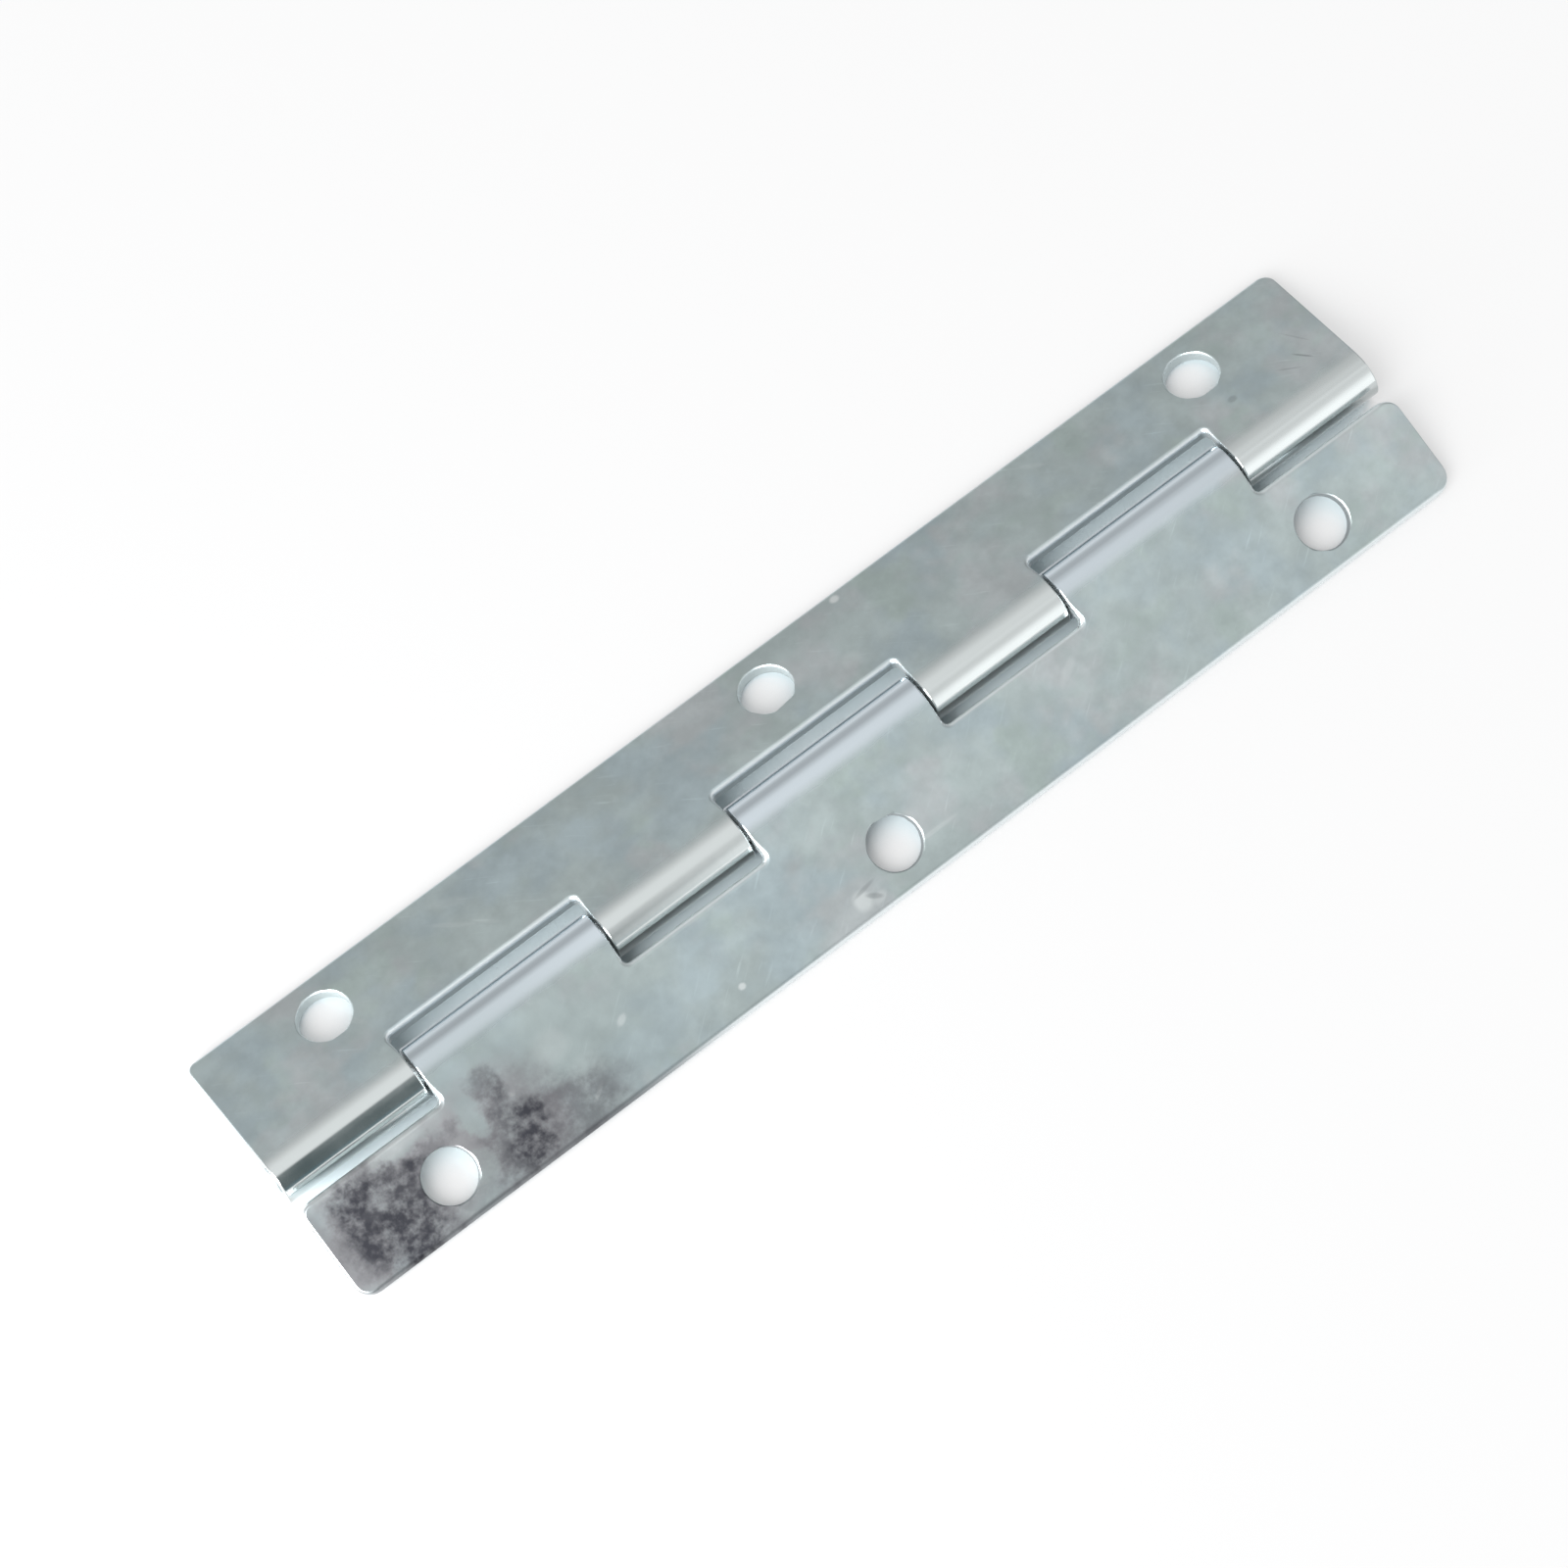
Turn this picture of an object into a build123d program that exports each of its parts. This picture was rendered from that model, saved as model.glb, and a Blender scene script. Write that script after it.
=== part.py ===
from build123d import *
import math
import os

# Narrow strip hinge of plated sheet steel, in millimetres. Two blanked leaves are rolled round one
# pin, so that their faces run smoothly over the barrel, which hangs below them. The hinge lies as a
# shallow roof, on its barrel and the outer edges of both leaves.
# X runs along the pin, Y across the leaves and Z up from the surface below. The origin is on that
# surface, under the middle of the pin.

# Sheet and pin
sheet_thickness = 1.2
pin_diameter = 2.5
pin_clearance = 0.05  # radial, between the pin and the rolled knuckles
pin_recess = 0.4  # from the end of the barrel to the end of the pin
pin_chamfer = 0.3

# Leaves
hinge_length = 120.0
leaf_width = 13.0  # from the pin's axis to the outer edge
corner_radius = 0.8  # outer corners of each leaf
edge_break = 0.3  # bevel along the edges of the face, where tumbling has taken the corner off

# Knuckles, which take turns along the pin
end_leaf_knuckles = 4  # on the leaf that has both ends of the barrel
narrow_knuckle = 15.0  # length of each of these
knuckle_gap = 0.3  # along the pin, between one knuckle and the next
notch_relief = 0.75  # from the barrel to the notch that it turns in
notch_radius = 0.5  # inner corners of the notches
seam_gap = 0.4  # between the end of the roll and the underside of its leaf

# Screw holes, three in a row on each leaf
hole_diameter = 5.0
hole_to_edge = 4.3  # from the hole's centre to the outer edge
hole_to_end = 12.0  # from the first and last hole's centre to the leaf's end

# Sizes that follow
bore_radius = pin_diameter / 2 + pin_clearance
barrel_radius = bore_radius + sheet_thickness
mid_leaf_knuckles = end_leaf_knuckles - 1
wide_knuckle = (hinge_length - end_leaf_knuckles * narrow_knuckle) / mid_leaf_knuckles
half_length = hinge_length / 2
roll_turn = 270 + math.degrees(math.asin((bore_radius - seam_gap) / barrel_radius))
# Each leaf droops until the underside of its outer edge is level with the bottom of the barrel.
edge_reach = math.hypot(leaf_width, bore_radius)
droop = math.degrees(math.atan2(bore_radius, leaf_width) + math.asin(barrel_radius / edge_reach))


def knuckle_spans():
    """The ends along X of the narrow knuckles and of the wide ones, without the gaps."""
    pitch = narrow_knuckle + wide_knuckle
    starts = [-half_length + pitch * place for place in range(end_leaf_knuckles)]
    narrow = [(start, start + narrow_knuckle) for start in starts]
    wide = [(start + narrow_knuckle, start + pitch) for start in starts[:mid_leaf_knuckles]]
    return narrow, wide


def rolled_section():
    """Section of a leaf across the pin's axis: the flat sheet and its roll, as one bent strip."""
    with BuildSketch(Plane.YZ) as section:
        with BuildLine():
            outside = CenterArc((0, 0), barrel_radius, 90, roll_turn)
            inside = CenterArc((0, 0), bore_radius, 90, roll_turn)
            Line(outside @ 1, inside @ 1)
            Polyline(outside @ 0, (leaf_width, barrel_radius), (leaf_width, bore_radius), inside @ 0)
        make_face()
    return section.sketch


def notch(span):
    """Cutter for one notch, which takes the roll away between the two ends of a span along X."""
    start = span[0] - knuckle_gap / 2
    stop = span[1] + knuckle_gap / 2
    depth = 2 * barrel_radius + notch_relief
    height = 4 * barrel_radius
    middle = barrel_radius + notch_relief - depth / 2
    return Pos((start + stop) / 2, middle, 0) * Box(stop - start, depth, height)


def screw_holes():
    """Cutters for the row of screw holes."""
    row = hole_to_end - half_length
    spots = [(x, leaf_width - hole_to_edge, barrel_radius) for x in (row, 0, -row)]
    return [Pos(*spot) * Cylinder(hole_diameter / 2, 2 * sheet_thickness) for spot in spots]


def is_at_end(edge):
    """Whether an edge lies in the plane of one end of the leaf."""
    return math.isclose(abs(edge.center().X), half_length)


def is_on_roll(edge):
    """Whether an edge lies on the pin's side of the flat face, where the roll carries it on."""
    return math.isclose(edge.center().Y, 0, abs_tol=1e-6)


def leaf(cleared_spans):
    """A leaf lying flat on the +Y side of the pin, with a notch for each knuckle of the other leaf."""
    blank = extrude(rolled_section(), half_length, both=True)
    blank -= [notch(span) for span in cleared_spans]
    upright = blank.edges().filter_by(Axis.Z)
    blank = fillet(upright.filter_by(is_at_end), corner_radius)
    upright = blank.edges().filter_by(Axis.Z)
    inner = upright.filter_by(lambda edge: edge.center().Y < leaf_width / 2 and not is_at_end(edge))
    blank = fillet(inner, notch_radius)
    face = blank.faces().filter_by(Axis.Z).sort_by(Axis.Z)[-1]
    rim = face.outer_wire().edges().filter_by(is_on_roll, reverse=True)
    blank = chamfer(rim, edge_break)
    return blank - screw_holes()


def lay_down(flat_leaf, turn):
    """Turns a flat leaf about the pin's axis by some degrees and lifts that axis to its height."""
    return Pos(0, 0, barrel_radius) * Rot(turn, 0, 0) * flat_leaf


def hinge_pin():
    """The straight pin, just short of both ends of the barrel."""
    rod = Rot(0, 90, 0) * Cylinder(pin_diameter / 2, hinge_length - 2 * pin_recess)
    rod = chamfer(rod.edges().filter_by(GeomType.CIRCLE), pin_chamfer)
    return Pos(0, 0, barrel_radius) * rod


def main():
    narrow, wide = knuckle_spans()
    parts = {
        "end_knuckle_leaf": lay_down(leaf(wide), -droop),
        "mid_knuckle_leaf": lay_down(mirror(leaf(narrow), Plane.XZ), droop),
        "hinge_pin": hinge_pin(),
    }
    os.makedirs("parts", exist_ok=True)
    for name, part in parts.items():
        export_step(part, f"parts/{name}.step")


if __name__ == "__main__":
    main()
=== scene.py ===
"""Narrow hinge of zinc-plated sheet: two leaves rolled round one pin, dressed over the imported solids.

Lengths in the classes are millimetres, and the meshes are written in metres in the frame of the solids:
X along the pin, +Y towards the leaf with the end knuckles, Z up from the surface that the hinge lies on.
"""

import logging
import math
from dataclasses import dataclass, field
from enum import Enum
from typing import Any, Optional, Union

import bpy
import numpy as np
from mathutils import Matrix, Vector
from mathutils.geometry import delaunay_2d_cdt


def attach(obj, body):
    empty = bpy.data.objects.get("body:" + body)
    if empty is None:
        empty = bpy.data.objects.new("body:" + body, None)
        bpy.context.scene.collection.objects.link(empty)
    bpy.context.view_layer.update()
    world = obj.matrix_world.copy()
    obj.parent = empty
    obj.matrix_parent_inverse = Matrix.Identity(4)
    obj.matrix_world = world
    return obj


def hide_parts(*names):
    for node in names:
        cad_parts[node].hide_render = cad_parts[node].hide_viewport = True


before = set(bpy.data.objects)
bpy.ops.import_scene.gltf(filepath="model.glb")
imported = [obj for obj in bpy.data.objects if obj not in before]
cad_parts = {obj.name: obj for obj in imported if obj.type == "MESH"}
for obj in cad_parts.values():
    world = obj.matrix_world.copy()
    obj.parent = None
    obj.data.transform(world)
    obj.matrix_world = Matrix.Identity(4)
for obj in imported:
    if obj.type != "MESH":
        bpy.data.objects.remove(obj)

log = logging.getLogger("narrow_hinge")

MM = 0.001
TINY = 1e-6
WHITE = (1.0, 1.0, 1.0, 1.0)
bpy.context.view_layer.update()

Triple = tuple[float, float, float]
Colour = Triple
Span = tuple[float, float]
Stops = tuple[Span, ...]
Value = Union["Sock", float, int]


# Shader expressions


class Sock:
    """A shader socket that can stand in a Python expression."""

    def __init__(self, graph: "Graph", socket: Optional[bpy.types.NodeSocket]) -> None:
        """Wraps one output socket of a node of the graph."""
        self.graph = graph
        self.socket = socket

    def __add__(self, other: Value) -> "Sock":
        """self + other."""
        return self.graph.math("ADD", self, other)

    def __radd__(self, other: Value) -> "Sock":
        """other + self."""
        return self.graph.math("ADD", other, self)

    def __sub__(self, other: Value) -> "Sock":
        """self - other."""
        return self.graph.math("SUBTRACT", self, other)

    def __rsub__(self, other: Value) -> "Sock":
        """other - self."""
        return self.graph.math("SUBTRACT", other, self)

    def __mul__(self, other: Value) -> "Sock":
        """self * other."""
        return self.graph.math("MULTIPLY", self, other)

    def __rmul__(self, other: Value) -> "Sock":
        """other * self."""
        return self.graph.math("MULTIPLY", other, self)


class Graph:
    """The node tree of a material or of the world, with one method that adds any node."""

    def __init__(self, tree: bpy.types.NodeTree) -> None:
        """Empties the tree."""
        self.tree = tree
        tree.nodes.clear()

    def add(self, kind: str, settings: Optional[dict[str, Any]] = None,
            inputs: Optional[dict[Union[str, int], Any]] = None, output: Union[str, int] = 0) -> Sock:
        """Adds a node.

        Args:
            kind: the node's type.
            settings: attributes of the node, set first; "stops" fills a colour ramp.
            inputs: values or links by socket name or number.
            output: the output socket that is wanted.

        Returns:
            The wrapped output socket.
        """
        node = self.tree.nodes.new(kind)
        for key, value in (settings or {}).items():
            if key == "stops":
                self.fill_ramp(node.color_ramp, value)
            else:
                setattr(node, key, value)
        for key, value in (inputs or {}).items():
            if isinstance(value, Sock):
                self.tree.links.new(value.socket, node.inputs[key])
            else:
                node.inputs[key].default_value = value
        return Sock(self, node.outputs[output] if len(node.outputs) else None)

    @staticmethod
    def fill_ramp(ramp: bpy.types.ColorRamp, stops: Stops) -> None:
        """Writes the stops of a colour ramp.

        Args:
            ramp: the ramp.
            stops: positions with their grey levels, from the lowest position up.
        """
        while len(ramp.elements) < len(stops):
            ramp.elements.new(1.0)
        for element, (position, level) in zip(ramp.elements, stops):
            element.position = position
            element.color = (level, level, level, 1.0)

    def math(self, operation: str, *values: Value) -> Sock:
        """Adds one Math node on values."""
        return self.add("ShaderNodeMath", {"operation": operation}, dict(enumerate(values)))

    def clamp(self, value: Sock) -> Sock:
        """The value held between 0 and 1."""
        return self.add("ShaderNodeClamp", {}, {0: value})

    def step(self, value: Value, low: float, high: float) -> Sock:
        """A smooth step from 0 at low to 1 at high, or down where low is the higher.

        Args:
            value: what is compared.
            low: where the step begins.
            high: where the step ends.

        Returns:
            The step.
        """
        return self.add("ShaderNodeMapRange", {"interpolation_type": "SMOOTHSTEP"},
                        {0: value, 1: low, 2: high, 3: 0.0, 4: 1.0})

    def ramp(self, value: Sock, stops: Stops) -> Sock:
        """The grey level of a colour ramp at a value."""
        return self.add("ShaderNodeValToRGB", {"stops": stops}, {0: value})

    def mix(self, factor: Value, first: Any, second: Any) -> Sock:
        """Mixes two colours.

        Args:
            factor: 0 for the first, 1 for the second.
            first: a colour or a socket.
            second: a colour or a socket.

        Returns:
            The mixed colour.
        """
        pair = [c if isinstance(c, Sock) else (*c, 1.0) for c in (first, second)]
        return self.add("ShaderNodeMix", {"data_type": "RGBA"}, {0: factor, 6: pair[0], 7: pair[1]}, 2)

    def split(self, vector: Sock) -> tuple[Sock, Sock, Sock]:
        """The three parts of a vector."""
        node = self.add("ShaderNodeSeparateXYZ", {}, {0: vector}).socket.node
        return tuple(Sock(self, socket) for socket in node.outputs)

    def join(self, x: Value, y: Value, z: Value) -> Sock:
        """A vector from three values."""
        return self.add("ShaderNodeCombineXYZ", {}, {0: x, 1: y, 2: z})

    def moved(self, vector: Sock, by: Union[Sock, Triple]) -> Sock:
        """The sum of two vectors."""
        return self.add("ShaderNodeVectorMath", {"operation": "ADD"}, {0: vector, 1: by})

    def scaled(self, vector: Sock, by: Value) -> Sock:
        """A vector or a colour times a value."""
        return self.add("ShaderNodeVectorMath", {"operation": "SCALE"}, {0: vector, "Scale": by})

    def local(self, place: Sock, centre: Triple, turn: float, size: Triple) -> Sock:
        """Coordinates of their own for one mark or pattern.

        Args:
            place: the coordinates that it lies in.
            centre: its middle.
            turn: its turn about the third axis, in degrees.
            size: the lengths that become 1.

        Returns:
            The new coordinates.
        """
        return self.add("ShaderNodeMapping", {"vector_type": "TEXTURE"},
                        {"Vector": place, "Location": centre,
                         "Rotation": (0.0, 0.0, math.radians(turn)), "Scale": size})

    def noise(self, vector: Sock, scale: float, detail: float = 3.0, roughness: float = 0.6,
              colour: bool = False) -> Sock:
        """Noise on a vector.

        Args:
            vector: the coordinates.
            scale: features per unit of the coordinates.
            detail: octaves.
            roughness: how strong the finer octaves are.
            colour: three independent noises instead of one.

        Returns:
            The noise, about 0.5 on average.
        """
        return self.add("ShaderNodeTexNoise", {}, {"Vector": vector, "Scale": scale, "Detail": detail,
                                                   "Roughness": roughness}, 1 if colour else 0)

    def ray(self, kind: str) -> Sock:
        """1 for rays of one kind, such as Camera, and 0 for the others."""
        return self.add("ShaderNodeLightPath", {}, {}, f"Is {kind} Ray")

    def metal(self, inputs: dict[str, Any]) -> None:
        """Puts a metal on the material's output, with the inputs that are given."""
        shader = self.add("ShaderNodeBsdfPrincipled", {}, {"Metallic": 1.0, **inputs})
        self.add("ShaderNodeOutputMaterial", {}, {"Surface": shader})


def new_material(name: str) -> tuple[bpy.types.Material, Graph]:
    """Makes a material with an empty node tree.

    Args:
        name: the material's name.

    Returns:
        The material and the graph of its tree.
    """
    material = bpy.data.materials.new(name)
    material.use_nodes = True
    return material, Graph(material.node_tree)


def new_object(name: str, data: bpy.types.ID) -> bpy.types.Object:
    """Makes an object and links it to the scene.

    Args:
        name: the object's name.
        data: its mesh, lamp or camera.

    Returns:
        The object.
    """
    made = bpy.data.objects.new(name, data)
    bpy.context.scene.collection.objects.link(made)
    return made


# Sizes of the hinge


class LeafKind(Enum):
    """The two leaves: the sign of the side that each lies on."""

    END = 1
    MID = -1


@dataclass(frozen=True)
class HingeSizes:
    """Sizes of the hinge in millimetres, the same as the solids have."""

    length: float = 120.0
    leaf_width: float = 13.0
    sheet: float = 1.2
    barrel_radius: float = 2.5
    bore_radius: float = 1.3
    seam_gap: float = 0.4
    narrow_knuckle: float = 15.0
    wide_knuckle: float = 20.0
    knuckle_gap: float = 0.3
    notch_edge: float = 3.25
    hole_radius: float = 2.5
    hole_to_edge: float = 4.3
    hole_to_end: float = 12.0

    @property
    def roll_turn(self) -> float:
        """How far the sheet turns round the pin, in radians."""
        return math.radians(270) + math.asin((self.bore_radius - self.seam_gap) / self.barrel_radius)

    @property
    def droop(self) -> float:
        """How far each leaf slopes down from the barrel to its outer edge, in radians."""
        reach = math.hypot(self.leaf_width, self.bore_radius)
        return math.atan2(self.bore_radius, self.leaf_width) + math.asin(self.barrel_radius / reach)

    @property
    def roll_end(self) -> float:
        """Length of the blank from the outer edge to the end of the roll."""
        return self.leaf_width + self.barrel_radius * self.roll_turn

    def spans(self, kind: LeafKind) -> np.ndarray:
        """Knuckles of one leaf along the pin.

        Args:
            kind: the leaf.

        Returns:
            Start and end of each knuckle, less half a gap where another knuckle stands beside it.
        """
        pitch = self.narrow_knuckle + self.wide_knuckle
        half = self.length / 2
        if kind is LeafKind.END:
            start = np.arange(-half, half, pitch)
            spans = np.stack([start, start + self.narrow_knuckle], 1)
        else:
            start = np.arange(-half + self.narrow_knuckle, half - self.narrow_knuckle, pitch)
            spans = np.stack([start, start + self.wide_knuckle], 1)
        free = np.abs(spans) > half - TINY
        return spans + np.where(free, 0.0, np.array([0.5, -0.5]) * self.knuckle_gap)


# Finishes

FIRST_SHIFT: Triple = (83.0, 29.0, 0.0)
SECOND_SHIFT: Triple = (-47.0, 61.0, 0.0)


class Tint(Enum):
    """What a mark does to the plate's colour."""

    PALE = (0.74, 0.78, 0.78)
    # The next colour darkens dull marks, and also paints shade and dark reflections on rims.
    DULL_AND_SHADE = (0.22, 0.24, 0.25)
    # The next three colours paint the dark patch, which is partly tarnish and partly a painted dark
    # reflection.
    HAZE_AND_SHADE = (0.325, 0.38, 0.382)
    FILM = (0.35, 0.352, 0.366)
    BLACK = (0.035, 0.036, 0.044)


@dataclass(frozen=True)
class Mark:
    """One mark on a leaf's face: an ellipse in blank coordinates, in millimetres and degrees."""

    u: float
    s: float
    half_length: float
    half_width: float
    turn: float = 0.0
    strength: float = 1.0
    tint: Tint = Tint.PALE

    def mask(self, g: Graph, place: Sock) -> Sock:
        """How much of the mark there is at a place.

        Args:
            g: the material's graph.
            place: blank coordinates.

        Returns:
            The mark's strength near the middle of the ellipse, fading to 0 a little outside its rim.
        """
        none, full = 1.15, 0.45
        local = g.local(place, (self.u, self.s, 0.0), self.turn, (self.half_length, self.half_width, 1.0))
        away = g.add("ShaderNodeVectorMath", {"operation": "LENGTH"}, {0: local}, "Value")
        return g.step(away, none, full) * self.strength


@dataclass(frozen=True)
class Cloud:
    """Soft clouds of one tint in the plate: a noise in blank coordinates, between two of its levels."""

    tint: Colour
    scale: float
    levels: Span
    shift: Triple = (0.0, 0.0, 0.0)

    def over(self, g: Graph, place: Sock, colour: Union[Sock, Colour]) -> Sock:
        """Lays the clouds over a colour.

        Args:
            g: the material's graph.
            place: blank coordinates.
            colour: the colour under them.

        Returns:
            The clouded colour.
        """
        noise = g.noise(g.moved(place, self.shift), self.scale)
        return g.mix(g.step(noise, *self.levels), colour, self.tint)


@dataclass(frozen=True)
class ZincFinish:
    """Bright zinc plate on sheet steel: satin and cloudy, lighter on the roll, and lighter on the rounded
    edges, partly worn bright and partly a painted highlight.

    A span tells where something fades in, from where there is none of it to where it is full: places in the
    blank, depths, or levels of a noise. A gain is what it adds there, to the brightness or to the roughness.
    """

    plate: Colour = (0.455, 0.525, 0.525)
    tints: tuple[Cloud, ...] = (
        Cloud((0.43, 0.51, 0.535), 0.085, (0.44, 0.62)),
        Cloud((0.49, 0.53, 0.54), 0.11, (0.50, 0.66), FIRST_SHIFT),
        Cloud((0.445, 0.525, 0.51), 0.13, (0.52, 0.68), SECOND_SHIFT),
    )
    brightness: float = 1.0
    base_level: float = 0.93
    patch_scale: float = 0.19
    patch_span: Span = (0.40, 0.66)
    patch_gain: float = 0.13
    stroke_turn: float = 38.0
    stroke_size: Triple = (5.0, 0.45, 1.0)
    stroke_span: Span = (0.62, 0.80)
    stroke_gain: float = 0.16
    grain_scale: float = 0.5
    grain_gain: float = 0.28
    right_span: Span = (40.0, 56.0)
    right_gain: float = 0.05
    outer_span: Span = (6.0, 1.0)
    outer_gain: float = -0.05

    roll: Colour = (0.62, 0.66, 0.66)
    roll_span: Span = (-1.1, 0.3)
    # The edge and wall colours are partly the plated metal and partly painted light, set per leaf to match
    # the highlights and shade on the edges and walls.
    edge: Colour = (0.79, 0.84, 0.85)
    edge_span: Span = (0.01, 0.13)
    edge_on_roll: float = 0.3
    cut: Colour = (0.76, 0.81, 0.82)
    cut_span: Span = (7.4, 8.6)
    cut_depth_span: Span = (0.40, 0.54)
    hole_wall: Colour = (0.50, 0.56, 0.57)
    hole_fade: float = 0.6

    roughness: float = 0.30
    roll_roughness: float = 0.12
    rough_scale: float = 0.3
    rough_gain: float = 0.12
    blot_rough_gain: float = 0.12
    cut_rough_gain: float = 0.10
    edge_rough_gain: float = 0.08
    hole_rough_gain: float = 0.22
    knuckle_rough_gain: float = 0.24
    peel_scale: float = 1.6
    peel_height: float = 0.003
    peel_on_roll: float = 0.2

    fray_scale: float = 0.6
    fray_reach: float = 1.4
    mottle_scales: Span = (0.55, 1.3)
    mottle_shares: Span = (0.6, 0.4)
    mottle_span: Span = (0.72, 0.40)
    film_least: float = 0.70
    film_gain: float = 0.40
    blot_least: float = 0.38
    blot_gain: float = 0.60
    marks: tuple[Mark, ...] = ()
    # film and blots: partly tarnish, partly a painted dark reflection; clear takes them out again.
    film: tuple[Mark, ...] = ()
    blots: tuple[Mark, ...] = ()
    clear: tuple[Mark, ...] = ()

    def clouds(self, g: Graph, place: Sock) -> Sock:
        """The plate's colour: soft clouds of tints, with patches, faint strokes, grain and lighter areas.

        Args:
            g: the material's graph.
            place: blank coordinates.

        Returns:
            The colour.
        """
        colour: Union[Sock, Colour] = self.plate
        for cloud in self.tints:
            colour = cloud.over(g, place, colour)
        patches = g.noise(g.moved(place, FIRST_SHIFT), self.patch_scale, 4.0, 0.62)
        strokes = g.noise(g.local(place, (0.0, 0.0, 0.0), self.stroke_turn, self.stroke_size), 1.0, 2.0)
        grain = g.noise(g.moved(place, SECOND_SHIFT), self.grain_scale, 4.0)
        along, across, _ = g.split(place)
        level = self.brightness * (self.base_level + self.patch_gain * g.step(patches, *self.patch_span))
        level = level + self.stroke_gain * g.step(strokes, *self.stroke_span)
        level = level + self.grain_gain * (grain - 0.5)
        level = level + self.right_gain * g.step(along, *self.right_span)
        level = level + self.outer_gain * g.step(across, *self.outer_span)
        return g.scaled(colour, level)

    def tarnish_and_dark_reflection(self, g: Graph, place: Sock, colour: Sock) -> tuple[Sock, Sock]:
        """Partly tarnish and partly a painted dark reflection: a thin grey film with frayed edges, and darker
        blots in it, both mottled.

        Args:
            g: the material's graph.
            place: blank coordinates.
            colour: the colour of the clean plate.

        Returns:
            The tarnished colour, and how dark the blots are.
        """
        reach = self.fray_reach
        fray = g.add("ShaderNodeVectorMath", {"operation": "MULTIPLY_ADD"},
                     {0: g.noise(place, self.fray_scale, colour=True), 1: (2 * reach, 2 * reach, 0.0),
                      2: (-reach, -reach, 0.0)})
        frayed = g.moved(place, fray)
        film = sum(mark.mask(g, frayed) for mark in self.film)
        blots = sum(mark.mask(g, frayed) for mark in self.blots)
        for mark in self.clear:
            kept = 1 - mark.mask(g, frayed)
            film, blots = film * kept, blots * kept
        mottle = sum(share * g.noise(place, scale)
                     for share, scale in zip(self.mottle_shares, self.mottle_scales))
        mottle = g.step(mottle, *self.mottle_span)
        film = g.clamp(film * (self.film_least + self.film_gain * mottle))
        blots = g.clamp(blots) * (self.blot_least + self.blot_gain * mottle)
        return g.mix(blots, g.mix(film, colour, Tint.FILM.value), Tint.BLACK.value), blots

    def material(self, name: str, sizes: HingeSizes) -> bpy.types.Material:
        """Builds the finish on a leaf's own blank coordinates.

        Args:
            name: the material's name.
            sizes: the hinge's sizes.

        Returns:
            The material.
        """
        material, g = new_material(name)
        blank = g.add("ShaderNodeAttribute", {"attribute_name": "blank"}, {}, "Vector")
        along, across, depth = g.split(blank)
        place = g.join(along, across, 0.0)
        rolled = g.step(across, *(sizes.leaf_width + reach for reach in self.roll_span))
        low, high = sizes.hole_to_edge - sizes.hole_radius, sizes.hole_to_edge + sizes.hole_radius
        hole_band = g.step(across, low - self.hole_fade, low) * g.step(across, high + self.hole_fade, high)
        edges = g.step(depth, *self.edge_span)
        hole_edges = edges * hole_band
        wall = g.step(depth, *self.cut_depth_span) * g.step(across, *self.cut_span)

        colour = g.mix(rolled, self.clouds(g, place), self.roll)
        # Lighter rounded edges: partly worn bright, partly a painted highlight.
        colour = g.mix(edges * (1 - (1 - self.edge_on_roll) * rolled), colour, self.edge)
        for mark in self.marks:
            colour = g.mix(mark.mask(g, place), colour, mark.tint.value)
        rough = self.roughness + (self.roll_roughness - self.roughness) * rolled
        rough = rough + self.rough_gain * (g.noise(place, self.rough_scale) - 0.5)
        # Film and blots: partly tarnish, partly a painted dark reflection at the left end of the middle leaf.
        if self.film:
            colour, dark = self.tarnish_and_dark_reflection(g, place, colour)
            rough = rough + self.blot_rough_gain * dark
        # Cut and hole walls: their colours carry painted highlight and shade, set per leaf.
        colour = g.mix(wall, colour, self.cut)
        colour = g.mix(hole_edges, colour, self.hole_wall)
        rough = rough + self.cut_rough_gain * wall + self.edge_rough_gain * edges
        rough = rough + self.hole_rough_gain * hole_edges + self.knuckle_rough_gain * edges * rolled
        peel = g.noise(blank, self.peel_scale, roughness=0.55) * (1 - (1 - self.peel_on_roll) * rolled)
        normal = g.add("ShaderNodeBump", {},
                       {"Strength": 1.0, "Distance": self.peel_height * MM, "Height": peel})
        g.metal({"Base Color": colour, "Roughness": g.clamp(rough), "Normal": normal})
        return material


END_LEAF_MARKS = (
    Mark(10.1, 0.9, 0.55, 0.45, 0, 0.95),
    Mark(7.4, 7.2, 1.3, 1.0, 20, 0.22),
    Mark(-46.5, 6.2, 2.2, 0.35, 55, 0.12),
    Mark(-34.5, 4.6, 2.6, 0.3, 40, 0.14),
    Mark(-32.0, 6.4, 1.5, 0.25, 48, 0.14),
    Mark(-33.6, 2.4, 2.0, 0.6, 30, 0.10),
    Mark(56.4, 9.7, 1.1, 0.12, 52, 0.55, Tint.DULL_AND_SHADE),
    Mark(54.6, 10.0, 1.3, 0.10, 35, 0.28, Tint.DULL_AND_SHADE),
    Mark(57.2, 7.6, 1.6, 0.10, 60, 0.22, Tint.DULL_AND_SHADE),
    Mark(48.9, 9.0, 0.55, 0.4, 0, 0.40, Tint.DULL_AND_SHADE),
    Mark(31.6, 2.0, 1.5, 0.3, 35, 0.14),
)
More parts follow.
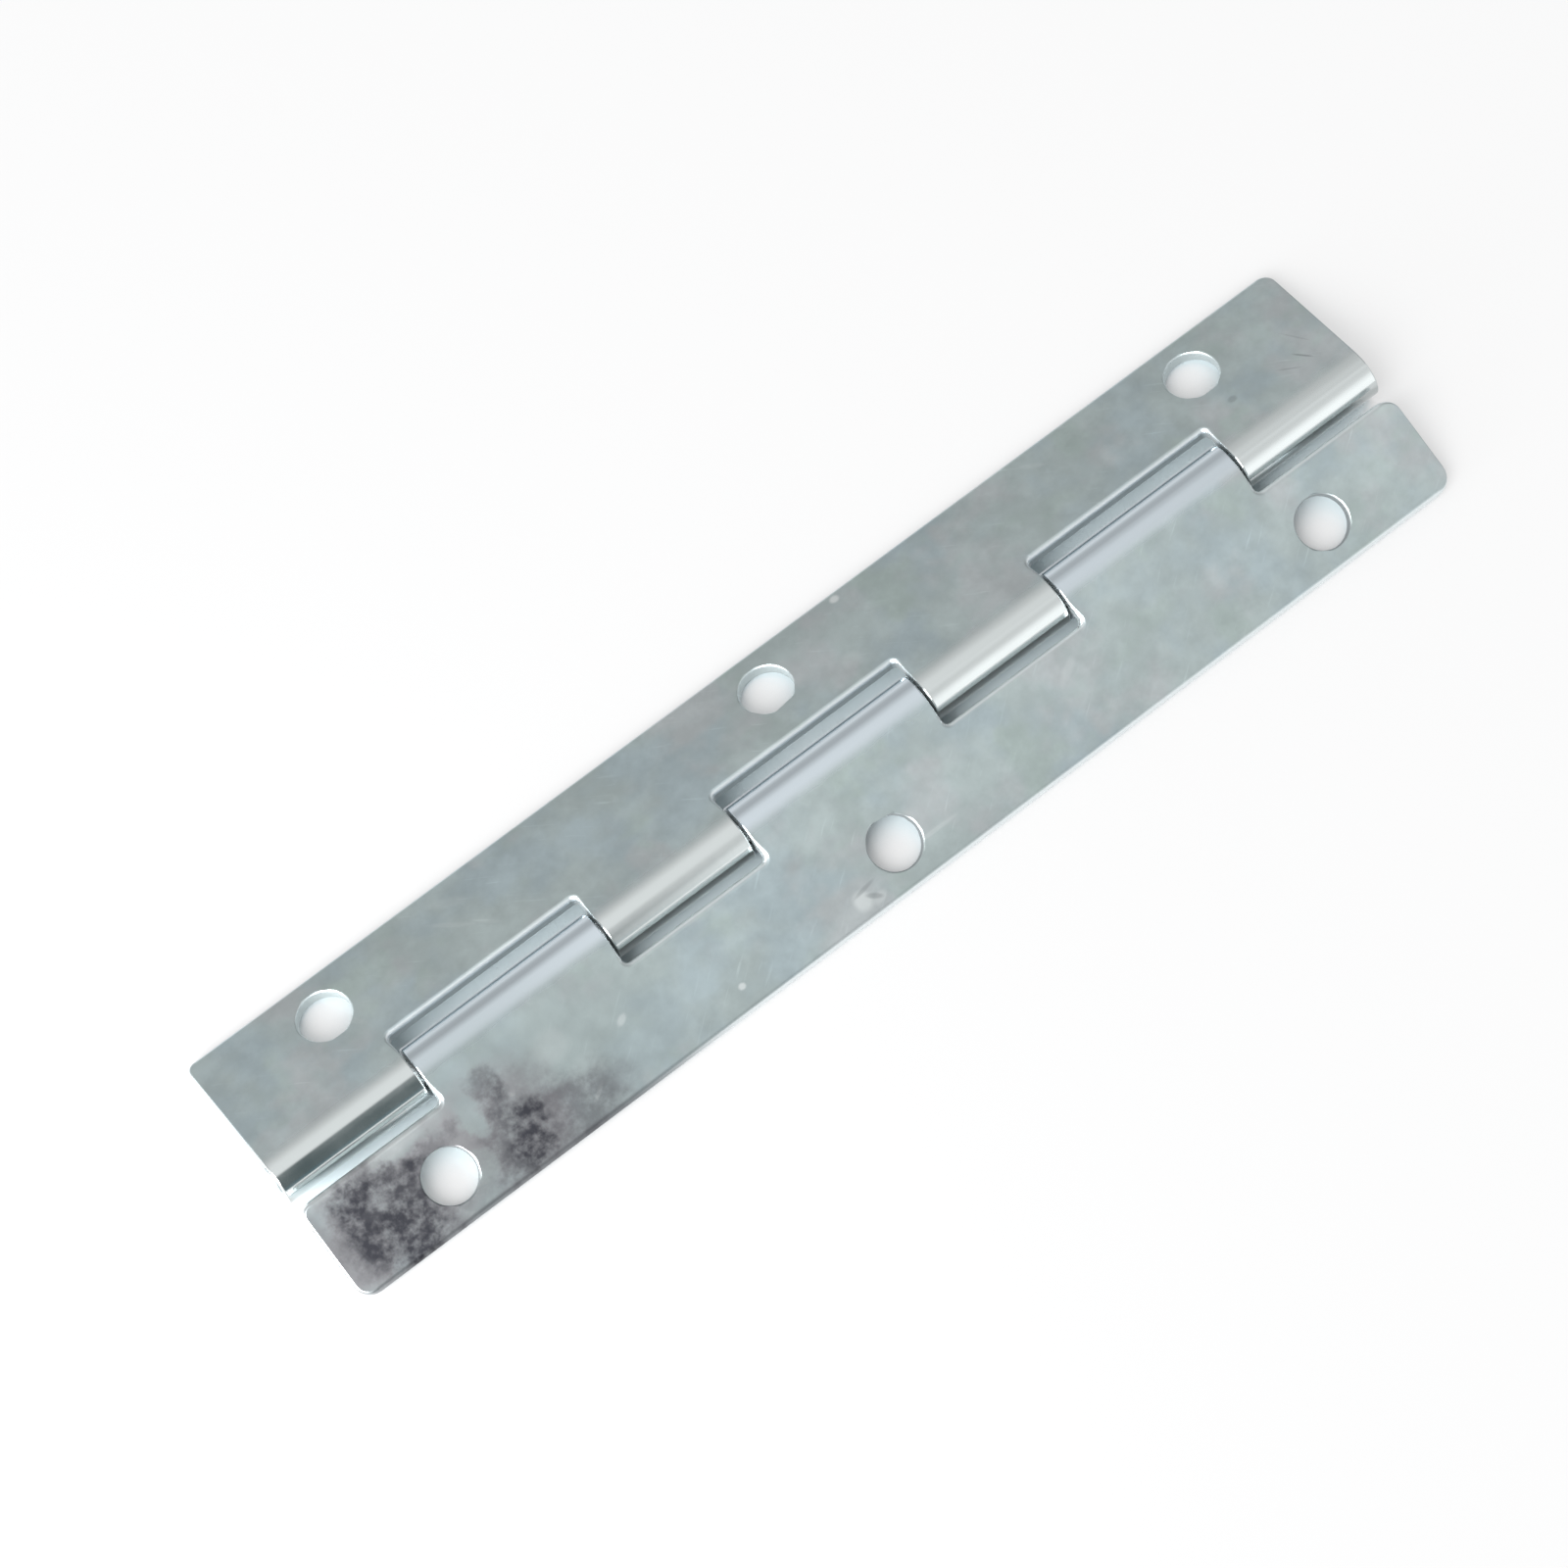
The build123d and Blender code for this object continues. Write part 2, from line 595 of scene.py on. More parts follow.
MID_LEAF_MARKS = (
    # A grey haze under the dark patch: partly tarnish, partly a painted dark reflection.
    Mark(-41.0, 5.5, 20.0, 10.0, 0, 0.55, Tint.HAZE_AND_SHADE),
    # A dark strip along the rounded outer edge at the left: a painted dark reflection on the rim.
    Mark(-42.5, 0.08, 22.0, 0.62, 0, 0.95, Tint.DULL_AND_SHADE),
    # A dark band at the left end: painted shade over the bright rim highlight there.
    Mark(-60.0, 5.0, 0.9, 7.0, 0, 0.60, Tint.DULL_AND_SHADE),
    # A pale band along the notch edge next to the first end knuckle: a painted reflection on the rounded rim.
    Mark(-53.0, 9.3, 8.5, 1.2, 0, 0.45),
    Mark(-18.2, 2.3, 0.42, 0.36, 0, 0.75),
    Mark(-5.3, 1.9, 1.0, 1.1, 20, 0.55),
    Mark(-3.9, 1.3, 0.9, 0.5, 20, 0.28),
    Mark(-4.6, 2.7, 1.4, 0.22, 10, 0.40, Tint.DULL_AND_SHADE),
    Mark(-4.2, 1.7, 0.9, 0.30, -35, 0.45, Tint.DULL_AND_SHADE),
    Mark(-39.6, 6.8, 0.40, 0.32, 0, 0.75),
    Mark(-28.3, 6.2, 0.7, 0.4, 30, 0.35),
    Mark(-33.6, 2.4, 1.3, 0.22, 35, 0.30),
    Mark(-34.6, 8.0, 2.0, 1.7, 0, 0.16),
    Mark(3.6, 3.1, 2.6, 0.25, 0, 0.22),
    Mark(-33.5, 4.4, 2.2, 1.6, 15, 0.10),
    Mark(21.5, 7.3, 1.6, 0.5, 30, 0.18),
    Mark(8.2, 7.6, 2.4, 1.4, 0, 0.10),
    Mark(-8.2, 8.2, 1.3, 1.0, 0, 0.16, Tint.DULL_AND_SHADE),
)
# The dark patch at the left end of the middle leaf: partly tarnish, partly a painted dark reflection.
MID_LEAF_FILM_AND_DARK_REFLECTION = (
    Mark(-53.5, 5.0, 9.5, 7.0, 0, 0.95),
    Mark(-58.2, 2.6, 3.0, 4.5, 0, 0.35),
    Mark(-46.5, 7.0, 5.0, 4.0, 0, 0.40),
    Mark(-41.4, 4.8, 6.4, 6.4, 0, 0.80),
    Mark(-36.0, 2.2, 6.5, 3.2, 0, 0.40),
)
MID_LEAF_BLOTS_AND_DARK_REFLECTION = (
    Mark(-53.8, 4.4, 6.0, 6.4, 0, 0.95),
    Mark(-53.6, 2.3, 3.2, 2.6, 0, 0.48),
    Mark(-56.2, 8.0, 2.2, 1.6, 0, 0.42),
    Mark(-58.6, 4.8, 3.0, 5.0, 0, 0.24),
    Mark(-47.4, 7.2, 3.8, 1.3, 8, 0.55),
    Mark(-47.8, 1.0, 5.0, 1.2, 0, 0.30),
    Mark(-42.0, 3.6, 4.2, 4.4, 0, 0.64),
    Mark(-42.2, 1.6, 2.2, 1.6, 0, 0.15),
    Mark(-41.1, 8.8, 2.0, 2.0, 0, 0.60),
    Mark(-39.2, 6.4, 3.4, 3.2, 0, 0.30),
    Mark(-36.2, 2.4, 6.6, 3.8, 0, 0.62),
)
MID_LEAF_CLEAR = (
    Mark(-43.6, 7.4, 1.6, 2.6, 0, 0.80),
    Mark(-50.3, 9.0, 3.4, 1.3, 0, 0.70),
    Mark(-45.2, 3.4, 1.4, 2.4, 0, 0.45),
)


@dataclass(frozen=True)
class PinFinish:
    """Drawn wire of the pin: zinc, a little duller than the leaves, with fine lines along it."""

    colour: Colour = (0.50, 0.52, 0.53)
    dark_share: float = 0.8
    line_scale: Triple = (60.0, 3000.0, 3000.0)
    roughness: float = 0.35
    rough_gain: float = 0.15

    def material(self, name: str) -> bpy.types.Material:
        """Builds the finish on Object coordinates.

        Args:
            name: the material's name.

        Returns:
            The material.
        """
        material, g = new_material(name)
        place = g.add("ShaderNodeTexCoord", {}, {}, "Object")
        lines = g.add("ShaderNodeMapping", {}, {"Vector": place, "Scale": self.line_scale})
        drawn = g.noise(lines, 1.0, 2.0, 0.5)
        dark = tuple(self.dark_share * c for c in self.colour)
        g.metal({"Base Color": g.mix(drawn, dark, self.colour),
                 "Roughness": self.roughness + self.rough_gain * (drawn - 0.5)})
        return material


# The leaves

CDT_INSIDE = 1
CDT_EPSILON = 1e-7


@dataclass
class Surface:
    """Points of a piece with their normals, blank coordinates and faces, before they become a mesh."""

    points: list[np.ndarray] = field(default_factory=list)
    normals: list[np.ndarray] = field(default_factory=list)
    blanks: list[np.ndarray] = field(default_factory=list)
    faces: list[np.ndarray] = field(default_factory=list)
    count: int = 0

    def add(self, points: np.ndarray, normals: np.ndarray, blanks: np.ndarray) -> np.ndarray:
        """Adds a grid of points.

        Args:
            points: places, last axis 3.
            normals: unit normals, in the same order.
            blanks: blank coordinates, in the same order.

        Returns:
            The numbers of the points, in the grid's shape.
        """
        numbers = self.count + np.arange(points[..., 0].size).reshape(points.shape[:-1])
        self.points.append(points.reshape(-1, 3))
        self.normals.append(normals.reshape(-1, 3))
        self.blanks.append(blanks.reshape(-1, 3))
        self.count += numbers.size
        return numbers

    def quads(self, numbers: np.ndarray) -> None:
        """Adds the faces of a grid whose first axis closes on itself, two triangles to a cell.

        Args:
            numbers: numbers of the grid's points.
        """
        ahead = np.roll(numbers, -1, axis=0)
        a, b, c, d = (x.ravel() for x in (numbers[:, :-1], ahead[:, :-1], ahead[:, 1:], numbers[:, 1:]))
        self.faces += [np.stack([a, b, c], 1), np.stack([a, c, d], 1)]

    def mesh(self, name: str) -> bpy.types.Object:
        """Makes the object, with every face turned to the side of its points' normals.

        Args:
            name: the object's name.

        Returns:
            The object, linked to the scene.
        """
        points, normals = np.concatenate(self.points), np.concatenate(self.normals)
        faces = np.concatenate(self.faces)
        corner = points[faces]
        facing = np.cross(corner[:, 1] - corner[:, 0], corner[:, 2] - corner[:, 0])
        turned = np.einsum("ij,ij->i", facing, normals[faces].sum(1)) < 0
        faces[turned] = faces[turned][:, ::-1]
        data = bpy.data.meshes.new(name)
        data.from_pydata((points * MM).tolist(), [], faces.tolist())
        data.polygons.foreach_set("use_smooth", np.ones(len(faces), bool))
        blank = data.attributes.new("blank", "FLOAT_VECTOR", "POINT")
        blank.data.foreach_set("vector", np.concatenate(self.blanks).astype(np.float32).ravel())
        data.update()
        data.normals_split_custom_set_from_vertices(normals.tolist())
        return new_object(name, data)


@dataclass
class RolledLeaf:
    """One leaf: a blank with notches and holes, its edges rounded by the punch, rolled round the pin."""

    kind: LeafKind
    sizes: HingeSizes
    finish: ZincFinish
    node: str
    body: str
    left_corners: Span
    right_corners: Span
    edge_radius: float = 0.55
    edge_fade: float = 2.0
    knuckle_edge_radius: float = 0.14
    end_edge_radius: float = 0.16
    end_edge_reach: float = 2.5
    hole_edge_radius: float = 0.22
    foot_radius: float = 0.12
    notch_radius: float = 0.55
    tab_radius: float = 0.65
    tab_margin: float = 0.05
    bend_ease: float = 2.2
    roll_step: float = math.radians(4.0)
    curve_points: int = 4001
    corner_points: int = 9
    hole_points: int = 72
    round_points: int = 8
    foot_points: int = 4

    def roll_angle(self, s: np.ndarray) -> np.ndarray:
        """How far the sheet has turned at a distance s from the outer edge.

        The curvature grows in a straight line from 0 to 1/R over bend_ease, centred where the roll begins,
        so the angle is 0, then x*x / (2 ease R) with x counted from the start of the ease, then
        (s - width) / R.

        Args:
            s: distances along the outer face.

        Returns:
            Angles in radians.
        """
        ease, radius = self.bend_ease, self.sizes.barrel_radius
        x = s - (self.sizes.leaf_width - ease / 2)
        return np.where(x <= 0, 0.0, np.where(x < ease, x * x / (2 * ease * radius), (x - ease / 2) / radius))

    def roll_curve(self) -> tuple[np.ndarray, np.ndarray, np.ndarray]:
        """The outer face's line across the pin: its direction summed along s, with the roll round the pin.

        Returns:
            Distances s, and the line's places across the pin and above it.
        """
        radius = self.sizes.barrel_radius
        s = np.linspace(0.0, self.sizes.roll_end, self.curve_points)
        middle = self.roll_angle((s[1:] + s[:-1]) / 2)
        step = np.diff(s)
        y = np.concatenate([[0.0], np.cumsum(-np.cos(middle) * step)])
        z = np.concatenate([[0.0], np.cumsum(-np.sin(middle) * step)])
        last = self.roll_angle(s[-1:])[0]
        return s, y - y[-1] - radius * math.sin(last), z - z[-1] + radius * math.cos(last)

    def bent(self, u: np.ndarray, s: np.ndarray, depth: np.ndarray, out: np.ndarray, lean: np.ndarray
             ) -> tuple[np.ndarray, np.ndarray]:
        """Carries points of the blank to their places on the rolled leaf.

        A point stands depth under the outer face's line at s, along the face's normal there. Its normal leans
        by an angle from the face's normal towards the edge's outward direction in the blank.

        Args:
            u: places along the pin.
            s: distances from the outer edge along the outer face.
            depth: depths under the outer face.
            out: outward directions in the blank, last axis (u, s).
            lean: lean of the normals in radians, 0 on the outer face and pi on the inner one.

        Returns:
            Places and normals, last axis 3.
        """
        line_s, line_y, line_z = self.roll_curve()
        turn = self.roll_angle(s)
        face = np.stack([np.zeros_like(turn), -np.sin(turn), np.cos(turn)], -1)
        run = np.stack([np.zeros_like(turn), -np.cos(turn), -np.sin(turn)], -1)
        pin = np.array([1.0, 0.0, 0.0])
        place = np.stack([u, np.interp(s, line_s, line_y), np.interp(s, line_s, line_z)], -1)
        place = place - depth[..., None] * face
        edge = out[..., :1] * pin + out[..., 1:] * run
        normal = np.cos(lean)[..., None] * face + np.sin(lean)[..., None] * edge
        return self.laid(place) + np.array([0.0, 0.0, self.sizes.barrel_radius]), self.laid(normal)

    def laid(self, vectors: np.ndarray) -> np.ndarray:
        """Turns vectors by the leaf's droop, on the leaf's own side of the pin.

        Args:
            vectors: places or normals, last axis 3.

        Returns:
            The turned vectors.
        """
        c, s = math.cos(self.sizes.droop), math.sin(self.sizes.droop)
        x, y, z = vectors[..., 0], vectors[..., 1], vectors[..., 2]
        return np.stack([x, self.kind.value * (c * y + s * z), c * z - s * y], -1)

    def corners(self) -> np.ndarray:
        """Corners of the blank, anticlockwise in (u, s).

        Returns:
            Rows of u, s and corner radius.
        """
        size = self.sizes
        half, notch, end = size.length / 2, size.leaf_width - size.notch_edge, size.roll_end
        rows = [(-half, 0.0, self.left_corners[0]), (half, 0.0, self.right_corners[0])]
        if self.kind is LeafKind.MID:
            rows.append((half, notch, self.right_corners[1]))
        for left, right in size.spans(self.kind)[::-1]:
            if right < half - TINY:
                rows.append((right, notch, self.notch_radius))
            rows += [(right, end, self.tab_radius), (left, end, self.tab_radius)]
            if left > -half + TINY:
                rows.append((left, notch, self.notch_radius))
        if self.kind is LeafKind.MID:
            rows.append((-half, notch, self.left_corners[1]))
        return np.array(rows)

    def levels(self) -> np.ndarray:
        """Distances s at which the roll's sides have points.

        Returns:
            Even steps from the start of the ease to just before the round corners of the tab.
        """
        size = self.sizes
        first = size.leaf_width - self.bend_ease / 2
        last = size.roll_end - self.tab_radius - self.tab_margin
        return np.linspace(first, last, int((last - first) / (size.barrel_radius * self.roll_step)) + 1)

    def outline(self) -> tuple[np.ndarray, np.ndarray]:
        """The blank's outline: corners as quarter circles, and points on the sides of the roll at its levels.

        A corner's arc is centre + r (in sin - out cos), where in and out are the directions of its two sides.

        Returns:
            Points and inward directions, last axis (u, s).
        """
        rows = self.corners()
        corner, radius = rows[:, :2], rows[:, 2][:, None, None]
        ahead = np.roll(corner, -1, 0) - corner
        ahead /= np.linalg.norm(ahead, axis=1)[:, None]
        behind = np.roll(ahead, 1, 0)
        angle = np.linspace(0, math.pi / 2, self.corner_points)[None, :, None]
        came, goes = behind[:, None], ahead[:, None]
        centre = corner[:, None] + radius * (goes - came)
        arc = centre + radius * (came * np.sin(angle) - goes * np.cos(angle))
        heading = came * np.cos(angle) + goes * np.sin(angle)
        levels = self.levels()
        points, headings = [], []
        for k in range(len(rows)):
            start, stop = arc[k, -1], arc[(k + 1) % len(rows), 0]
            low, high = sorted((start[1], stop[1]))
            between = levels[(levels > low + TINY) & (levels < high - TINY)]
            between = between[::-1] if stop[1] < start[1] else between
            side = np.stack([np.full_like(between, start[0]), between], 1)
            points += [arc[k], side]
            headings += [heading[k], np.broadcast_to(ahead[k], side.shape)]
        points, headings = np.concatenate(points), np.concatenate(headings)
        return points, np.stack([-headings[:, 1], headings[:, 0]], 1)

    def hole(self, u: float) -> tuple[np.ndarray, np.ndarray]:
        """A screw hole's circle, clockwise so that the sheet is on the left.

        Args:
            u: place of the hole along the pin.

        Returns:
            Points and inward directions (into the sheet), last axis (u, s).
        """
        angle = np.linspace(0, -2 * math.pi, self.hole_points, endpoint=False)
        away = np.stack([np.cos(angle), np.sin(angle)], 1)
        return np.array([u, self.sizes.hole_to_edge]) + self.sizes.hole_radius * away, away

    def edge_profile(self, radius: np.ndarray) -> tuple[np.ndarray, np.ndarray, np.ndarray]:
        """The cut edge from the outer face to the inner one: a quarter round, a wall, a small quarter round.

        Args:
            radius: radius of the upper round at each point of a path.

        Returns:
            How far each point is inside the outline, its depth, and the lean of its normal, path by profile.
        """
        top = np.linspace(0, math.pi / 2, self.round_points)
        foot = np.linspace(0, math.pi / 2, self.foot_points)
        every = np.ones_like(radius)
        set_in = self.foot_radius * (1 - np.cos(foot))
        under = self.sizes.sheet - self.foot_radius * (1 - np.sin(foot))
        inside = np.hstack([np.outer(radius, 1 - np.sin(top)), np.outer(every, set_in)])
        depth = np.hstack([np.outer(radius, 1 - np.cos(top)), np.outer(every, under)])
        return inside, depth, np.outer(every, np.concatenate([top, math.pi / 2 + foot]))

    def edge_radii(self, path: np.ndarray, inward: np.ndarray) -> np.ndarray:
        """Radius of the outline's upper round: edge_radius on the plate, less on the roll and at the ends.

        It falls in a straight line over edge_fade beyond the notch edge, and round the end corners with the
        share of the inward direction that runs along the pin.

        Args:
            path: points of the outline, last axis (u, s).
            inward: directions into the sheet.

        Returns:
            Radii.
        """
        size = self.sizes
        share = np.clip((path[:, 1] - size.leaf_width + size.notch_edge) / self.edge_fade, 0.0, 1.0)
        radius = self.edge_radius + (self.knuckle_edge_radius - self.edge_radius) * share
        near_end = np.clip(np.abs(path[:, 0]) - size.length / 2 + self.end_edge_reach, 0.0, 1.0)
        return radius + (self.end_edge_radius - radius) * np.abs(inward[:, 0]) * near_end

    def rim(self, surface: Surface, path: np.ndarray, inward: np.ndarray, radius: np.ndarray) -> np.ndarray:
        """Carries the edge profile along a closed path of the blank.

        Args:
            surface: the surface that gets the points and faces.
            path: points of the path, last axis (u, s).
            inward: directions into the sheet.
            radius: radius of the upper round at each point.

        Returns:
            Numbers of the points, path by profile.
        """
        inside, depth, lean = self.edge_profile(radius)
        flat = path[:, None] + inward[:, None] * inside[..., None]
        out = np.broadcast_to(-inward[:, None], flat.shape)
        points, normals = self.bent(flat[..., 0], flat[..., 1], depth, out, lean)
        numbers = surface.add(points, normals, np.dstack([flat, depth]))
        surface.quads(numbers)
        return numbers

    def roll_rows(self, place: np.ndarray) -> np.ndarray:
        """Pairs of outline points on the two sides of each knuckle, at the same level of the roll.

        Args:
            place: points of the outline's ring in the blank, last axis (u, s).

        Returns:
            Numbers of the two points in the ring, a row to a pair.
        """
        slack = 0.01
        on_level = np.abs(place[:, 1][:, None] - self.levels()[None]).min(1) < TINY
        rows = []
        for left, right in self.sizes.spans(self.kind):
            side = np.nonzero(on_level & (place[:, 0] > left - slack) & (place[:, 0] < right + slack))[0]
            west = side[place[side, 0] < (left + right) / 2]
            east = side[place[side, 0] > (left + right) / 2]
            rows.append(np.stack([west[np.argsort(place[west, 1])], east[np.argsort(place[east, 1])]], 1))
        return np.concatenate(rows)

    def fill(self, surface: Surface, rings: list[np.ndarray]) -> None:
        """Fills a face between the outline's ring and the holes' rings, row by row on the roll.

        Args:
            surface: the surface that gets the faces.
            rings: numbers of the points, the outline first.
        """
        flat = np.concatenate(surface.blanks)[:, :2]
        numbers = np.concatenate(rings)
        starts = np.cumsum([0] + [len(ring) for ring in rings[:-1]])
        turns = [np.arange(len(ring)) for ring in rings]
        edges = [start + np.stack([turn, np.roll(turn, -1)], 1) for start, turn in zip(starts, turns)]
        links = np.concatenate([*edges, self.roll_rows(flat[rings[0]])])
        coords = [Vector(p) for p in flat[numbers].tolist()]
        _, _, faces, source, _, _ = delaunay_2d_cdt(coords, links.tolist(), [], CDT_INSIDE, CDT_EPSILON)
        faces = np.array([s[0] for s in source])[np.array(faces)]
        middle = flat[numbers][faces].mean(1)
        holes = np.array([[u, self.sizes.hole_to_edge] for u in self.hole_places()])
        clear = np.linalg.norm(middle[:, None] - holes[None], axis=2).min(1) > self.sizes.hole_radius
        surface.faces.append(numbers[faces[clear]])

    def hole_places(self) -> np.ndarray:
        """Places of the three screw holes along the pin."""
        reach = self.sizes.length / 2 - self.sizes.hole_to_end
        return np.array([-reach, 0.0, reach])

    def build(self) -> bpy.types.Object:
        """Builds the leaf, dresses it and lets it ride on its body in the place of its solid.

        Returns:
            The piece.
        """
        surface = Surface()
        path, inward = self.outline()
        rings = [self.rim(surface, path, inward, self.edge_radii(path, inward))]
        for u in self.hole_places():
            path, inward = self.hole(u)
            rings.append(self.rim(surface, path, inward, np.full(len(path), self.hole_edge_radius)))
        self.fill(surface, [ring[:, 0] for ring in rings])
        self.fill(surface, [ring[:, -1] for ring in rings])
        piece = surface.mesh("dressed_" + self.node)
        piece.data.materials.append(self.finish.material("zinc_" + self.node, self.sizes))
        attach(piece, self.body)
        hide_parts(self.node)
        return piece


@dataclass
class HingePin:
    """The pin, which keeps its solid and gets its finish."""

    finish: PinFinish
    node: str = "hinge_pin"

    def build(self) -> bpy.types.Object:
        """Dresses the pin's solid.

        Returns:
            The solid's object.
        """
        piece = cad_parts[self.node]
        piece.data.materials.clear()
        piece.data.materials.append(self.finish.material("zinc_pin"))
        return piece


# The studio


@dataclass(frozen=True)
class SkyPatch:
    """A part of the sky: smooth steps along some of the directions x, y and z, multiplied."""

    x: Optional[Span] = None
    y: Optional[Span] = None
    z: Optional[Span] = None
    strength: float = 1.0

    def mask(self, g: Graph, toward: tuple[Sock, Sock, Sock]) -> Sock:
        """How much of the patch there is in a direction.

        Args:
            g: the world's graph.
            toward: the direction's three parts.

        Returns:
            The patch's strength inside it, fading to 0.
        """
        mask: Value = self.strength
        for part, span in zip(toward, (self.x, self.y, self.z)):
            if span is not None:
                mask = mask * g.step(part, *span)
        return mask


@dataclass(frozen=True)
class Lamp:
    """A round lamp that shines at the middle of the hinge, in metres and watts."""

    name: str
    place: Triple
    diameter: float
    power: float

    def build(self) -> bpy.types.Object:
        """Hangs the lamp.

        Returns:
            The lamp.
        """
        data = bpy.data.lights.new(self.name, "AREA")
        data.shape, data.size, data.energy = "DISK", self.diameter, self.power
        lamp = new_object(self.name, data)
        lamp.location = Vector(self.place)
        lamp.rotation_euler = Vector(self.place).to_track_quat("Z", "Y").to_euler()
        return lamp


@dataclass
class Studio:
    """Pale floor, soft light and the camera.

    The floor's levels are shares of open sky above a place, and the sky's are heights of a direction.
    """

    floor_size: float = 3.0
    floor_colour: Colour = (0.41, 0.41, 0.413)
    # floor_between: the gaps' tone, brighter and blue-green, is painted bounce light from the zinc.
    floor_between: Colour = (0.48, 0.555, 0.58)
    floor_between_span: Span = (0.15, 0.55)
    floor_glow: Stops = ((0.10, 0.0), (0.25, 0.06), (0.40, 0.34), (0.55, 0.58), (0.85, 0.66), (1.0, 0.78))
    open_sky_rays: int = 16
    open_sky_reach: float = 0.02
    mirrored_span: Span = (0.15, 0.6)
    mirrored_far_side: Span = (-0.001, 0.002)
    mirrored_least: float = 0.10
    mirrored_gain: float = 0.48

    far_sky: Stops = ((0.0, 0.68), (0.10, 0.65), (0.25, 0.53), (0.42, 0.42),
                      (0.65, 0.41), (0.80, 0.54), (0.92, 0.70), (1.0, 0.72))
    near_sky: Stops = ((0.0, 0.97), (0.25, 1.0), (0.42, 0.99), (0.60, 0.86),
                       (0.75, 0.66), (0.87, 0.61), (0.95, 0.68), (1.0, 0.72))
    near_to_far: Span = (-0.12, 0.12)
    sky_strength: float = 1.5
    dim_above: SkyPatch = SkyPatch(x=(0.15, 0.40), y=(-0.20, 0.0), z=(0.70, 0.88), strength=0.25)
    dim_right: SkyPatch = SkyPatch(x=(0.30, 0.60), z=(0.75, 0.45), strength=0.40)
    shade: SkyPatch = SkyPatch(x=(-0.55, -0.35), y=(-0.16, -0.36), z=(0.0, 0.12))
    shade_edge: Span = (0.20, 0.11)
    shade_slant: SkyPatch = SkyPatch(z=(0.62, 0.95), strength=0.035)
    shade_colour: Colour = (0.075, 0.096, 0.100)
    shade_low_colour: Colour = (0.085, 0.132, 0.150)
    shade_low_span: Span = (0.38, 0.15)

    key: Lamp = Lamp("key", (-0.574, -0.268, 0.639), 0.75, 17.0)
    left_fill: Lamp = Lamp("left_fill", (-0.135, -0.012, 0.030), 0.06, 0.22)

    focal_px: float = 5500.0
    image_px: float = 1600.0
    sensor: float = 36.0
    clip: Span = (0.01, 50.0)
    camera_place: Triple = (-91.55, -130.48, 442.69)
    camera_right: Triple = (0.78833, -0.61464, -0.02731)
    camera_down: Triple = (-0.5862, -0.73689, -0.33669)
    camera_ahead: Triple = (0.18682, 0.28143, -0.94122)

    def camera(self) -> bpy.types.Object:
        """Places the camera at the photograph's viewing angle.

        Returns:
            The camera.
        """
        data = bpy.data.cameras.new("camera")
        data.sensor_width = self.sensor
        data.lens = self.focal_px / self.image_px * self.sensor
        data.clip_start, data.clip_end = self.clip
        camera = new_object("camera", data)
        right, down, ahead = (np.array(v) for v in (self.camera_right, self.camera_down, self.camera_ahead))
        turn = Matrix(np.stack([right, -down, -ahead], 1).tolist()).to_4x4()
        camera.matrix_world = Matrix.Translation(Vector(self.camera_place) * MM) @ turn
        bpy.context.scene.camera = camera
        return camera

    def floor_material(self) -> bpy.types.Material:
        """A pale cover that glows white where it is open, and less so in the gaps of the hinge. In the gaps
        its tone turns a brighter blue-green, as painted bounce light from the zinc. In reflections it glows
        more on the far side, as painted light.

        Returns:
            The material.
        """
        material, g = new_material("pale_floor")
        open_sky = g.add("ShaderNodeAmbientOcclusion", {"samples": self.open_sky_rays},
                         {"Distance": self.open_sky_reach}, "AO")
        tone = g.mix(g.step(open_sky, *self.floor_between_span), self.floor_between, self.floor_colour)
        cover = g.add("ShaderNodeBsdfDiffuse", {}, {"Color": tone})
        glow = g.add("ShaderNodeEmission", {}, {"Color": WHITE, "Strength": 1.0})
        seen = g.math("MAXIMUM", g.ray("Camera"), g.ray("Transmission")) * g.ramp(open_sky, self.floor_glow)
        across = g.split(g.add("ShaderNodeTexCoord", {}, {}, "Object"))[1]
        far_side = g.step(across, *self.mirrored_far_side)
        lit = g.math("MAXIMUM", g.step(open_sky, *self.mirrored_span), far_side)
        mirrored = g.ray("Glossy") * (self.mirrored_least + self.mirrored_gain * lit)
        both = g.add("ShaderNodeMixShader", {}, {0: seen + mirrored, 1: cover, 2: glow})
        g.add("ShaderNodeOutputMaterial", {}, {"Surface": both})
        return material

    def floor(self) -> bpy.types.Object:
        """A plain pale floor that keeps the hinge's shadow.

        Returns:
            The floor.
        """
        half = self.floor_size / 2
        corners = [(-half, -half, 0.0), (half, -half, 0.0), (half, half, 0.0), (-half, half, 0.0)]
        data = bpy.data.meshes.new("floor")
        data.from_pydata(corners, [], [(0, 1, 2, 3)])
        data.materials.append(self.floor_material())
        floor = new_object("floor", data)
        return floor

